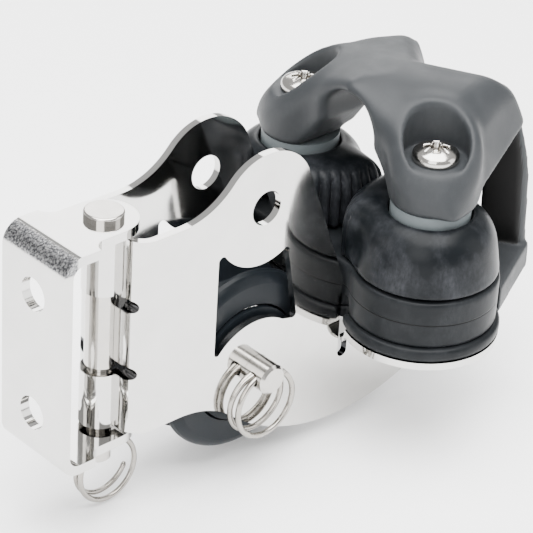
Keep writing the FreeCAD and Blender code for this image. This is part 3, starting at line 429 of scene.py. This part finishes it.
def fairlead_hood(p, from_foot, top, flank, rear):
    """The solid hood, with the round foot that carries it over the screw."""
    z = p[2]
    front = plane(p, (77.2, 0.0, 30.0), (-1.0, 0.05, -0.08))
    under = plane(p, (88.0, 27.0, 13.6), (0.19, -0.085, -0.978))
    foot_radius = 8.5
    foot_flare = 0.10
    hood = round_max(top, flank, 5.0)
    hood = round_max(hood, rear, 2.6)
    hood = smooth_max(hood, under, 0.8)
    hood = smooth_max(hood, front, 3.0)
    foot = from_foot - foot_radius - foot_flare * (z - FOOT_Z)
    foot = round_max(foot, top, 4.0)
    return smooth_max(smooth_min(hood, foot, 2.5), FOOT_Z - z, 0.7)


def fairlead_hollow(x, from_foot, slope, roof, flank, rear):
    """The room inside the hood, behind the foot and clear of it."""
    roof_wall = 3.4
    side_wall = 3.0
    foot_clearance = 9.4
    first_x = 92.0
    inside = smooth_max(roof + roof_wall, flank + side_wall, 4.0)
    inside = smooth_max(inside, slope + roof_wall, 2.0)
    inside = smooth_max(inside, rear + side_wall, 3.0)
    inside = smooth_max(inside, foot_clearance - from_foot, 1.5)
    return smooth_max(inside, first_x - x, 2.0)


def rear_panel(s, z, top, flank, rear, back):
    """The upright plate behind the cam, from the hood down to the deck."""
    thickness = 2.2
    outer = 17.0 - 0.022 * (z + 9)
    inner = 9.6
    panel = smooth_max(rear, -(back + thickness), 0.5)
    panel = smooth_max(panel, s - outer, 0.8)
    panel = smooth_max(panel, inner - s, 0.8)
    panel = smooth_max(panel, top + 2.5, 0.5)
    return round_max(panel, flank + 1.2, 1.0)


def rear_sill(p, from_foot, back):
    """The low sill that runs forward from the panel's lower end to the cleat base."""
    outer = plane(p, (118.6, 17.0, -12.0), (0.459, 0.888, 0.0))
    sill_top = -9.0
    inner = 10.5
    base_clearance = 16.6
    sill = smooth_max(outer, back, 0.8)
    sill = smooth_max(sill, p[2] - sill_top, 0.6)
    sill = smooth_max(sill, inner - p[1], 0.8)
    return np.maximum(sill, base_clearance - from_foot)


def fairlead_field(grid):
    """One half of the fairlead; the other is its mirror image across y = 0."""
    x, y, z = grid
    ridge_softness = 0.6
    s = np.sqrt(y * y + ridge_softness)
    p = (x, s, z)
    from_foot = np.hypot(x - CLEAT_X, s - CLEAT_Y)
    slope = plane(p, (CLEAT_X, CLEAT_Y, 26.6), (-0.515, 0.56, 1.0))
    roof = plane(p, (92.0, 0.0, 33.5), (0.10, 0.07, 1.0))
    flank = plane(p, (88.0, 26.8, 13.3), (0.339, 1.0, 0.284))
    crest = plane(p, (97.4, 0.0, 33.0), (0.79, -0.615, 0.50))
    back = plane(p, (104.2, 0.0, 21.8), (0.81, -0.585, 0.042))
    top = smooth_max(slope, roof, 5.0)
    rear = smooth_max(crest, back, 3.0)

    body = fairlead_hood(p, from_foot, top, flank, rear)
    hollow = fairlead_hollow(x, from_foot, slope, roof, flank, rear)
    body = smooth_max(body, -hollow, 0.8)
    body = smooth_min(body, rear_panel(s, z, top, flank, rear, back), 1.2)
    body = smooth_min(body, rear_sill(p, from_foot, back), 0.8)
    body = smooth_max(body, DECK_Z - z, 0.4)

    flare_z = 21.5
    flare = 0.68
    last_tunnel_x = 94.0
    half_width = ARCH_HALF + np.maximum(0, flare_z - z) * flare
    round_top = np.hypot(s, z - ARCH_CENTRE_Z) - ARCH_HALF
    tunnel = np.where(z > ARCH_CENTRE_Z, round_top, s - half_width)
    tunnel = smooth_max(tunnel, x - last_tunnel_x, 1.5)
    body = smooth_max(body, -tunnel, 2.2)
    well_radius = 6.5
    well = np.maximum(from_foot - well_radius, WELL_FLOOR - z)
    body = smooth_max(body, -well, 0.9)
    return np.maximum(body, np.maximum(z - HIGHEST_Z, x - LAST_X))


fairlead = skin("fairlead_shell", fairlead_field, (74, -29.5, -16.2), (121.5, 29.5, 35), 0.5,
                FAIRLEAD)
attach(fairlead, "block")
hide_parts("fairlead")


# ---------------------------------------------------------------- split rings

# The end loops of a wire are this much of its radius, which rounds its ends.
END_TAPER = 0.55


def sweep(name, points, radius, material, sides=12):
    """Round wire along a list of points in millimetres, with rounded ends."""
    path = [Vector(p) for p in points]
    made = bmesh.new()
    across = Vector((0, 1, 0))
    loops = []
    last = len(path) - 1
    for number, point in enumerate(path):
        along = (path[min(number + 1, last)] - path[max(number - 1, 0)]).normalized()
        across = (across - along * across.dot(along)).normalized()
        up = along.cross(across)
        reach = radius * END_TAPER if number in (0, last) else radius
        loop = []
        for step in range(sides):
            turn = 2 * math.pi * step / sides
            spot = point + (across * math.cos(turn) + up * math.sin(turn)) * reach
            loop.append(made.verts.new(spot * MM))
        loops.append(loop)
    for first, second in zip(loops, loops[1:]):
        for step in range(sides):
            after = (step + 1) % sides
            made.faces.new((first[step], first[after], second[after], second[step]))
    made.faces.new(list(reversed(loops[0])))
    made.faces.new(loops[-1])
    bmesh.ops.recalc_face_normals(made, faces=made.faces)
    mesh = bpy.data.meshes.new(name)
    made.to_mesh(mesh)
    made.free()
    mesh.shade_smooth()
    mesh.materials.append(material)
    return add_piece(name, mesh)


def coil_path(start, end, first, second, steps=72):
    """Turns from coil first to coil second, each (centre, radius, lean); angles from the top.

    Lean is how far a coil's far side stands off in Y for each millimetre of height. The wire
    crosses from one coil to the other over half a turn.
    """
    cross_start = 0.75
    cross_turns = 0.5
    points = []
    count = round((end - start) * steps)
    for number in range(count + 1):
        turn = start + (end - start) * number / count
        share = min(1.0, max(0.0, (turn - cross_start) / cross_turns))
        share = share * share * (3 - 2 * share)
        angle = 2 * math.pi * turn
        spots = []
        for centre, radius, lean in (first, second):
            drop = radius * math.cos(angle)
            spots.append(Vector((centre[0] + radius * math.sin(angle),
                                 centre[1] + lean * (radius - drop), centre[2] + drop)))
        points.append(spots[0].lerp(spots[1], share))
    return points


hinge_first = ((17.7, 0.35, -32.6), 6.25, 0.02)
hinge_second = ((18.1, -0.75, -32.9), 6.75, -0.04)
hinge_wire = sweep("hinge_ring_wire", coil_path(0.30, 2.22, hinge_first, hinge_second), 0.55, WIRE)
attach(hinge_wire, "hinge_ring")
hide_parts("hinge_split_ring")

axle_first = ((47.4, -11.2, -23.15), 6.75, 0.03)
axle_second = ((48.4, -12.75, -23.65), 7.2, -0.01)
axle_wire = sweep("axle_ring_wire", coil_path(-0.36, 2.12, axle_first, axle_second), 0.6, WIRE)
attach(axle_wire, "axle_ring")
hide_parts("axle_split_ring")


# ---------------------------------------------------------------- cams

CAM_LOW = -1.6
CAM_TOP = 11.6
CAM_FOOT_RADIUS = 14.9
FACE_RADIUS = 22.0
FACE_CENTRE = (3.6, -3.3)
RIB_PITCH = math.radians(6.4)
RIB_DEPTH = 1.5


def cam_lobe(u, v, z):
    """The swelling toothed face, u along the rope and v across it; the teeth fade at the top."""
    fade_top = 11.0
    fade_height = 2.5
    rear_u = 8.3
    rear_v = 14.0
    root_v = -2.0
    front_u = -11.6
    du = u - FACE_CENTRE[0]
    dv = v - FACE_CENTRE[1]
    turn = np.arctan2(du, dv)
    rib = 1 - np.abs(np.sin(math.pi * turn / RIB_PITCH))
    fade = np.clip((fade_top - z) / fade_height, 0, 1)
    face = np.hypot(du, dv) - FACE_RADIUS + RIB_DEPTH * rib * rib * fade
    rear = (u - rear_u) * 0.985 + (v - rear_v) * 0.17
    lobe = smooth_max(face, rear, 2.0)
    lobe = np.maximum(lobe, root_v - v)
    return np.maximum(lobe, front_u - u)


def cam_field(sign):
    """Cam on the side where y has this sign: round back, lobe, and rooms for bush and spring."""
    taper = 0.12
    belly = 0.006
    rim_round = 6.5
    seat_radius, seat_z = 8.45, 9.0
    spindle_radius = 5.3
    spring_radius, spring_top = 9.6, 4.0

    def field(grid):
        x, y, z = grid
        u = x - CLEAT_X
        v = CLEAT_Y - sign * y
        up = z - CAM_LOW
        around = np.hypot(u, v)
        back = around - CAM_FOOT_RADIUS + taper * up + belly * up * up
        solid = smooth_min(back, cam_lobe(u, v, z), 1.5)
        solid = smooth_max(solid, z - CAM_TOP, rim_round)
        solid = smooth_max(solid, CAM_LOW + 0.05 - z, 0.8)
        seat = np.maximum(around - seat_radius, seat_z - z)
        solid = smooth_max(solid, -seat, 0.7)
        solid = np.maximum(solid, spindle_radius - around)
        room = np.maximum(around - spring_radius, z - spring_top)
        return np.maximum(solid, -room)
    return field


margin = 1.4
for side, sign, jaw in (("near", -1, "near_jaw"), ("far", 1, "far_jaw")):
    low_y, high_y = sorted((sign * 0.8, sign * 33.2))
    cam = skin(f"{side}_cam_shell", cam_field(sign), (68.9, low_y - margin, -2.4),
               (100.1, high_y + margin, 12.4), 0.35, CAM)
    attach(cam, jaw)
    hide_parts(f"{side}_cam")


# ---------------------------------------------------------------- screws

HEAD_RADIUS = 4.75
HEAD_TOP = 25.4
SCREW_END = -22.9
SHANK_RADIUS = 2.5


def screw_head_field(middle_y):
    """Domed head with a cross recess and the four short marks between its arms."""
    dome_centre_z, dome_radius = 17.7, 7.7
    head_low = 22.25
    recess_floor = 23.0
    recess_taper = 0.35
    arm_half, arm_reach = 0.62, 2.75
    bowl_radius = 1.35
    mark_half, mark_reach, mark_floor = 0.16, 3.1, 24.75
    diagonal = 0.7071

    def field(grid):
        x, y, z = grid
        u = x - CLEAT_X
        v = y - middle_y
        around = np.hypot(u, v)
        dome = np.sqrt(around ** 2 + (z - dome_centre_z) ** 2) - dome_radius
        head = smooth_max(dome, around - HEAD_RADIUS, 0.7)
        head = smooth_max(head, head_low - z, 0.3)
        a = (u + v) * diagonal
        b = (u - v) * diagonal
        taper = recess_taper * (HEAD_TOP - z)
        recess = around - bowl_radius
        for across, along in ((a, b), (b, a)):
            arm = np.maximum(np.abs(across) - arm_half + 0.2 * taper,
                             np.abs(along) - arm_reach + taper)
            recess = np.minimum(recess, arm)
        recess = np.maximum(recess, recess_floor - z)
        mark = np.minimum(np.abs(u), np.abs(v)) - mark_half
        mark = np.maximum(mark, np.maximum(around - mark_reach, mark_floor - z))
        return smooth_max(head, -np.minimum(recess, mark), 0.25)
    return field


reach = 5.2
for side, middle_y in (("near", -CLEAT_Y), ("far", CLEAT_Y)):
    low = (CLEAT_X - reach, middle_y - reach, 21.9)
    high = (CLEAT_X + reach, middle_y + reach, 25.8)
    head = skin(f"{side}_screw_head", screw_head_field(middle_y), low, high, 0.14, PIN, 1)
    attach(head, "block")
    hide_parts("cleat_screws")
    heights = (SCREW_END, SCREW_END + 0.6, WELL_FLOOR + 0.1, WELL_FLOOR + 0.2)
    shank = sweep(f"{side}_screw_shank", [(CLEAT_X, middle_y, z) for z in heights],
                  SHANK_RADIUS, PIN, 24)
    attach(shank, "block")
    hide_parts("cleat_screws")


# ---------------------------------------------------------------- cleat base and pad

BASE_FLANK = 12.2
RELIEF_X = 72.3
RELIEF_Y = 9.9
RELIEF_RADIUS = 1.25
BORE_RADIUS = 2.75
SLAB_STEP = 0.42


def slab_field(radius, low, high, low_round, high_round, relief_top):
    """Two round ends joined by a waist; relief notches are open at the foot."""
    def field(grid):
        x, y, z = grid
        u = x - CLEAT_X
        s = np.abs(y)
        end = np.hypot(u, s - CLEAT_Y) - radius
        waist = np.maximum(np.abs(u) - BASE_FLANK, s - CLEAT_Y)
        plan = smooth_min(end, waist, 0.8)
        body = round_max(plan, z - high, high_round)
        body = round_max(body, low - z, low_round)
        notch = np.hypot(x - RELIEF_X, s - RELIEF_Y) - RELIEF_RADIUS
        notch = round_max(notch, z - relief_top, 1.0)
        body = np.maximum(body, -notch)
        bore = np.hypot(u, s - CLEAT_Y) - BORE_RADIUS
        return np.maximum(body, -bore)
    return field


base = skin("cleat_base_shell", slab_field(15.15, -12.15, -2.05, 0.4, 0.7, -9.2),
            (68.5, -35.5, -13.2), (100.5, 35.5, -1.2), SLAB_STEP, BASE)
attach(base, "block")
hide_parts("cleat_base")

pad = skin("base_pad_shell", slab_field(16.1, -15.15, -12.25, 0.9, 0.9, -10.0),
           (67.5, -36.5, -16.0), (101.5, 36.5, -11.4), SLAB_STEP, BLACK)
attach(pad, "block")
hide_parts("base_pad")


# ------------------------------------------------------- floor, light, camera

def add_floor(height, half=3.0):
    mesh = bpy.data.meshes.new("floor")
    made = bmesh.new()
    signs = ((-1, -1), (1, -1), (1, 1), (-1, 1))
    made.faces.new([made.verts.new((sx * half, sy * half, height)) for sx, sy in signs])
    made.to_mesh(mesh)
    made.free()
    floor = add_piece("floor", mesh)
    paper = Shader("floor_paper", (0.98, 0.98, 0.98), 0.9)
    paper.bump(paper.noise(300, 3.0), 0.02 * MM, 0.1)
    mesh.materials.append(paper.material)


LIGHT_AIM = (0.06, 0, 0)


def add_softbox(name, place, width, height, watts):
    light = bpy.data.lights.new(name, "AREA")
    light.shape = "RECTANGLE"
    light.size = width
    light.size_y = height
    light.energy = watts
    lamp = bpy.data.objects.new(name, light)
    bpy.context.scene.collection.objects.link(lamp)
    way = Vector(LIGHT_AIM) - Vector(place)
    turn = way.to_track_quat("-Z", "Y").to_matrix().to_4x4()
    lamp.matrix_world = Matrix.Translation(place) @ turn


def add_camera(target, azimuth, elevation, roll, distance, lens):
    """Azimuth 0 looks along +Y and grows anticlockwise from above; roll turns the picture."""
    az, el, turn = (math.radians(v) for v in (azimuth, elevation, roll))
    back = Vector((math.sin(az) * math.cos(el), -math.cos(az) * math.cos(el), math.sin(el)))
    right = Vector((math.cos(az), math.sin(az), 0))
    up = back.cross(right)
    side = right * math.cos(turn) + up * math.sin(turn)
    top = up * math.cos(turn) - right * math.sin(turn)
    data = bpy.data.cameras.new("camera")
    data.lens = lens
    data.sensor_width = 36
    data.clip_start = 0.01
    camera = bpy.data.objects.new("camera", data)
    camera.matrix_world = Matrix.Translation(Vector(target) + back * distance) @ Matrix(
        (side, top, back)).transposed().to_4x4()
    bpy.context.scene.collection.objects.link(camera)
    bpy.context.scene.camera = camera


FLOOR_DROP = 0.4 * MM
lowest = cad_box[0][2]
add_floor(lowest - FLOOR_DROP)
add_camera(target=(58.5 * MM, -0.32 * MM, -1.83 * MM), azimuth=-44.05, elevation=30.51,
           roll=3.59, distance=520.1 * MM, lens=176.7)

world = bpy.data.worlds.new("studio")
bpy.context.scene.world = world
world.use_nodes = True
background = world.node_tree.nodes["Background"]
background.inputs["Color"].default_value = (1, 1, 1, 1)
background.inputs["Strength"].default_value = 0.8
add_softbox("top_box", (0.0, -0.1, 0.9), width=1.0, height=1.0, watts=42)
add_softbox("left_box", (-0.8, -0.5, 0.5), width=0.7, height=0.7, watts=10)
add_softbox("right_box", (0.7, -0.7, 0.25), width=0.5, height=0.9, watts=4)
add_softbox("back_box", (0.8, 0.8, 0.55), width=0.9, height=0.6, watts=10)
